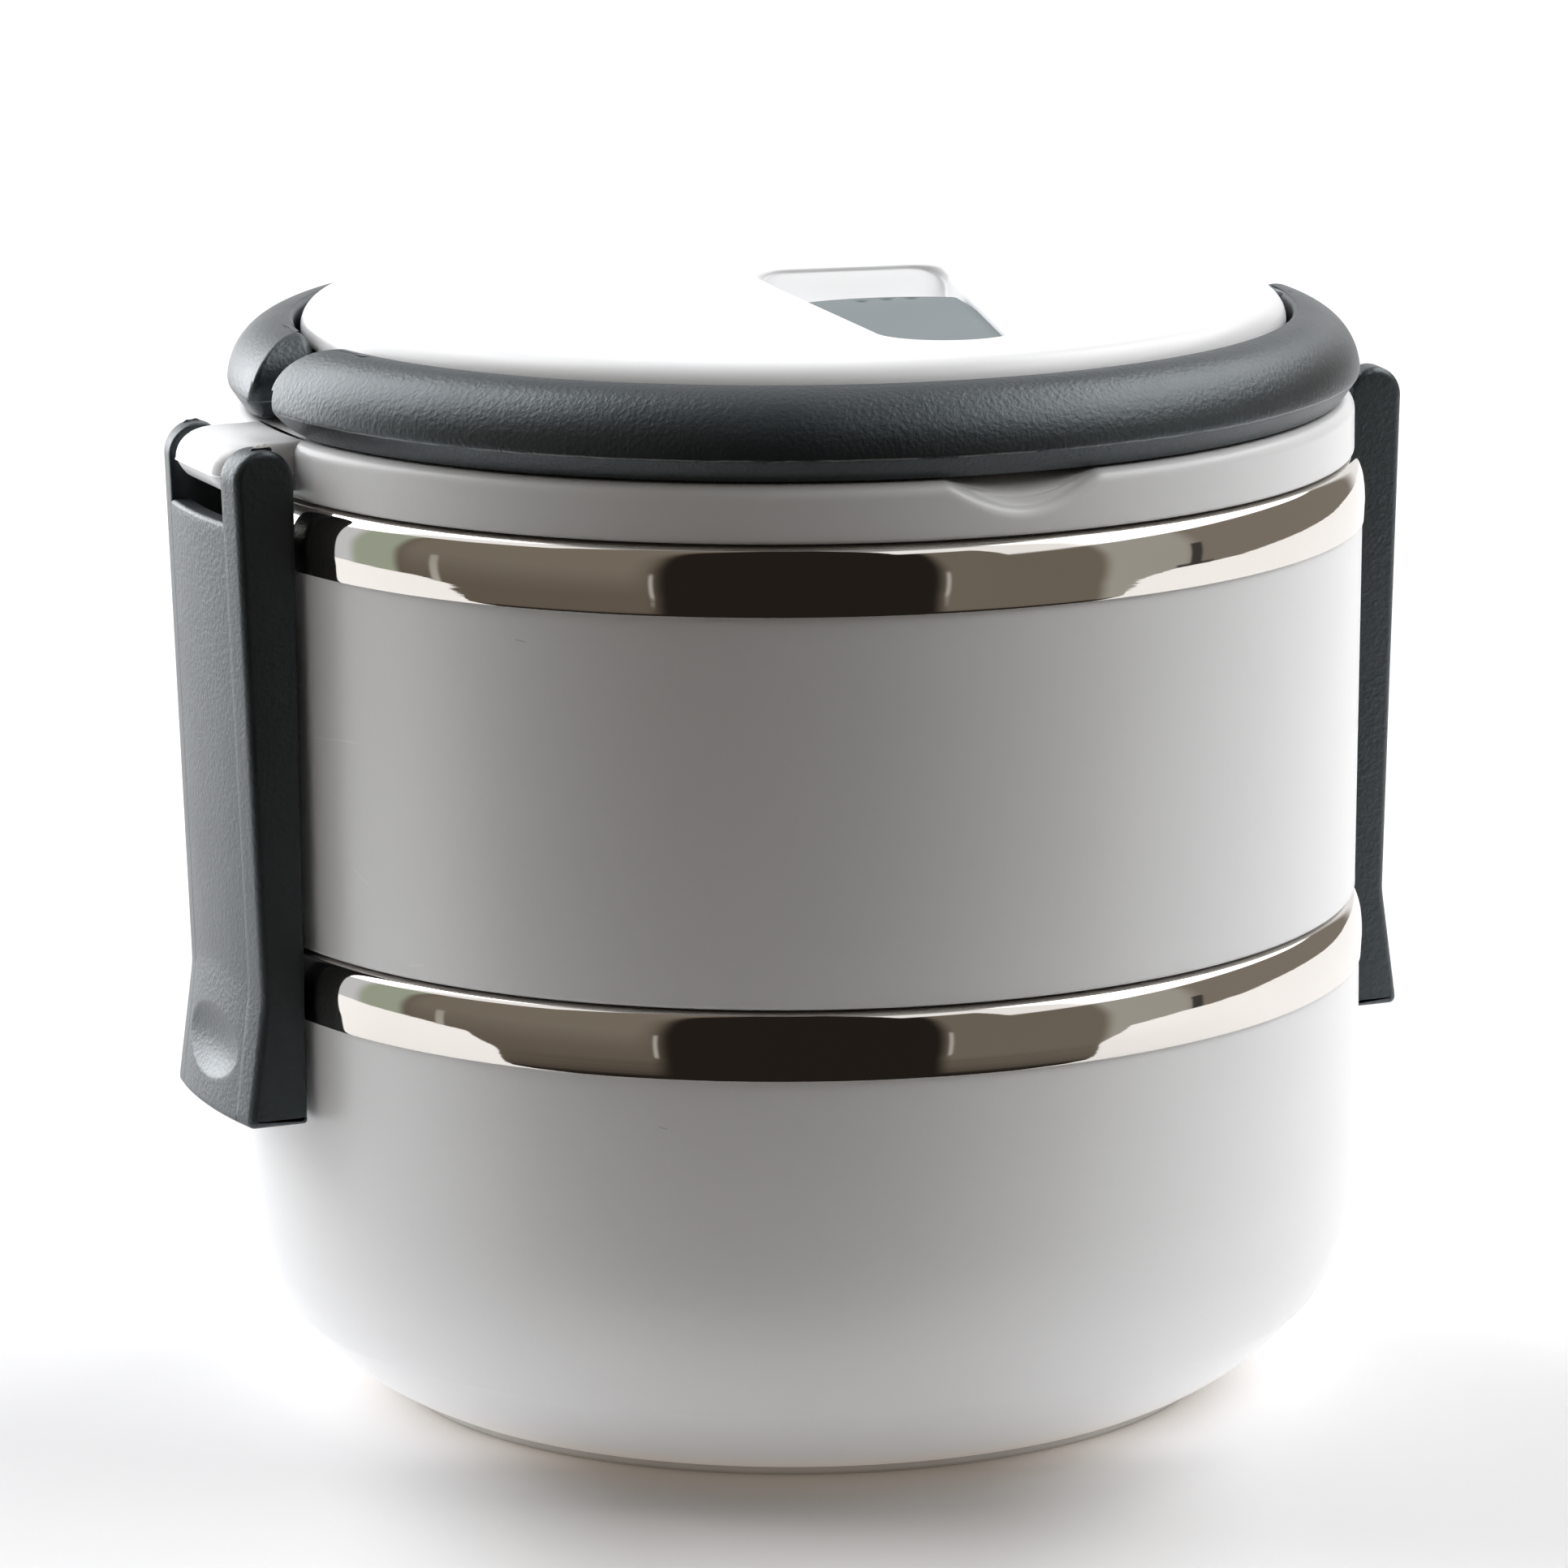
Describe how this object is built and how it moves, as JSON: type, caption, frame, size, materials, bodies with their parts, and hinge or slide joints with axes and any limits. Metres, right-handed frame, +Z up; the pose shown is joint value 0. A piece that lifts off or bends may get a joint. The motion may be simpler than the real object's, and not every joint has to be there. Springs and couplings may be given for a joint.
{
  "type": "bento lunch box",
  "caption": "Stacking round lunch box with steel-lined bowls, a clip-on lid with side latches, a folding split-ring carry handle and a lift-up steam vent plug.",
  "frame": {"origin": "centre of the lunch box's plan at table height", "axes": "+Z up; the two latches lie on the X axis; the fingertip scoop of the lid's front faces -Y"},
  "size_m": [0.1672, 0.15, 0.1446],
  "materials": {
    "white_plastic": "satin white, fine scuffs",
    "grey_plastic": "fine-grained slate grey",
    "steel": "mirror-polished stainless",
    "white_silicone": "soft matte",
    "grey_silicone": "soft matte"
  },
  "bodies": {
    "lower_tier": {"lower_shell": "white_plastic", "lower_base_cap": "white_plastic", "foot_ring": "white_silicone", "lower_steel_bowl": "steel"},
    "upper_tier": {"upper_shell": "white_plastic", "upper_base_cap": "white_plastic", "tier_seal": "white_silicone", "upper_steel_bowl": "steel"},
    "lid": {"lid_body": "white_plastic", "lid_liner": "white_plastic", "lid_seal": "white_silicone", "lid_top_plate": "white_plastic", "handle_pins": "steel"},
    "vent_flap": {"vent_plug": "grey_silicone"},
    "front_bail": {"front_handle": "grey_plastic"},
    "back_bail": {"back_handle": "grey_plastic"},
    "left_clip": {"left_latch": "grey_plastic", "left_latch_pin": "steel"},
    "right_clip": {"right_latch": "grey_plastic", "right_latch_pin": "steel"}
  },
  "joints": [
    {"name": "tier_lift", "type": "slide", "parent": "lower_tier", "child": "upper_tier", "axis": [0, 0, 1], "range_m": [0, 0.07]},
    {"name": "lid_lift", "type": "slide", "parent": "upper_tier", "child": "lid", "axis": [0, 0, 1], "range_m": [0, 0.09]},
    {"name": "left_latch_swing", "type": "hinge", "parent": "lid", "child": "left_clip", "pos_m": [-0.07909, 0, 0.12719], "axis": [0, 1, 0], "range_deg": [-0.5, 120]},
    {"name": "right_latch_swing", "type": "hinge", "parent": "lid", "child": "right_clip", "pos_m": [0.07909, 0, 0.12719], "axis": [0, -1, 0], "range_deg": [-0.5, 120]},
    {"name": "front_handle_fold", "type": "hinge", "parent": "lid", "child": "front_bail", "pos_m": [0, -0.00865, 0.1369], "axis": [-1, 0, 0], "range_deg": [0, 90]},
    {"name": "back_handle_fold", "type": "hinge", "parent": "lid", "child": "back_bail", "pos_m": [0, 0.00865, 0.1369], "axis": [1, 0, 0], "range_deg": [0, 90]},
    {"name": "vent_flap_lift", "type": "hinge", "parent": "lid", "child": "vent_flap", "pos_m": [0.00228, -0.04884, 0.1429], "axis": [0.9816, -0.1908, 0], "range_deg": [0, 70]}
  ]
}
